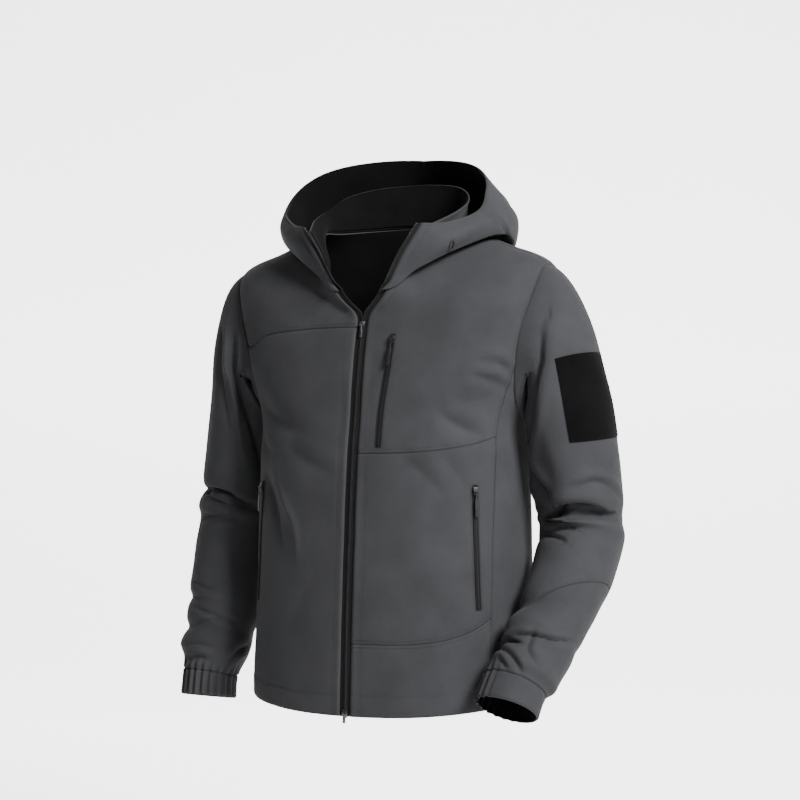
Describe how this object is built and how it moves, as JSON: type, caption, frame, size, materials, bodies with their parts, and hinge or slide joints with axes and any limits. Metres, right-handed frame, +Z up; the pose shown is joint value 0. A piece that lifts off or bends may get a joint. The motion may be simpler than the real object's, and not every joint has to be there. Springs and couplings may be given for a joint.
{
  "type": "hooded windbreaker jacket (softshell)",
  "caption": "Dark grey hooded softshell windbreaker, hollow, in its worn form with bent sleeves, part-open front zip, stand collar, chest and hand pocket zips and a sleeve patch.",
  "frame": {"origin": "middle of the neck at the height of the shoulder seams, where the wearer's shoulders carry the jacket", "axes": "+Z up along the body, -Y out of the front zip, +X towards the wearer's left sleeve"},
  "size_m": [0.6542, 0.3286, 0.7807],
  "materials": {
    "softshell": "matt woven",
    "lining": "matt fleece",
    "zip_tape": "matt",
    "patch": "loop pile",
    "zip_metal": "dark satin",
    "pull_rubber": "matt"
  },
  "bodies": {
    "garment": {"back": "softshell", "chest_pocket_slider": "pull_rubber", "chest_pocket_zip": "zip_tape", "collar": "softshell", "collar_lining": "lining", "cuff_left": "softshell", "cuff_right": "softshell", "forearm_left": "softshell", "forearm_right": "softshell", "front_left_chest": "softshell", "front_left_lower": "softshell", "front_left_middle": "softshell", "front_right_main": "softshell", "front_right_yoke": "softshell", "hand_pocket_left_slider": "pull_rubber", "hand_pocket_left_zip": "zip_tape", "hand_pocket_right_slider": "pull_rubber", "hand_pocket_right_zip": "zip_tape", "hem_slider": "zip_metal", "hood_eyelet": "zip_metal", "hood_left": "softshell", "hood_lining": "lining", "hood_right": "softshell", "side_left": "softshell", "side_right": "softshell", "sleeve_left": "softshell", "sleeve_patch": "patch", "sleeve_right": "softshell", "zip_slider": "zip_metal", "zip_tape_left": "zip_tape", "zip_tape_right": "zip_tape"},
    "zip_pull": {"zip_pull": "zip_metal"},
    "hem_pull": {"hem_pull": "zip_metal"},
    "chest_pocket_pull": {"chest_pocket_pull": "pull_rubber"},
    "hand_pocket_left_pull": {"hand_pocket_left_pull": "pull_rubber"},
    "hand_pocket_right_pull": {"hand_pocket_right_pull": "pull_rubber"}
  },
  "joints": [
    {"name": "zip_pull_hinge", "type": "hinge", "parent": "garment", "child": "zip_pull", "pos_m": [0, -0.10327, -0.1107], "axis": [-1, 0.0005, 0.0023], "range_deg": [0, 150]},
    {"name": "hem_pull_hinge", "type": "hinge", "parent": "garment", "child": "hem_pull", "pos_m": [0, -0.15257, -0.6329], "axis": [-1, 0, 0], "range_deg": [0, 150]},
    {"name": "chest_pocket_pull_hinge", "type": "hinge", "parent": "garment", "child": "chest_pocket_pull", "pos_m": [0.04926, -0.11083, -0.13042], "axis": [-0.9978, -0.0237, 0.0618], "range_deg": [0, 150]},
    {"name": "hand_pocket_left_pull_hinge", "type": "hinge", "parent": "garment", "child": "hand_pocket_left_pull", "pos_m": [0.16729, -0.09211, -0.33411], "axis": [-0.7223, -0.6915, 0.0007], "range_deg": [0, 150]},
    {"name": "hand_pocket_right_pull_hinge", "type": "hinge", "parent": "garment", "child": "hand_pocket_right_pull", "pos_m": [-0.16729, -0.09211, -0.33411], "axis": [-0.7223, 0.6915, -0.0007], "range_deg": [0, 150]}
  ]
}
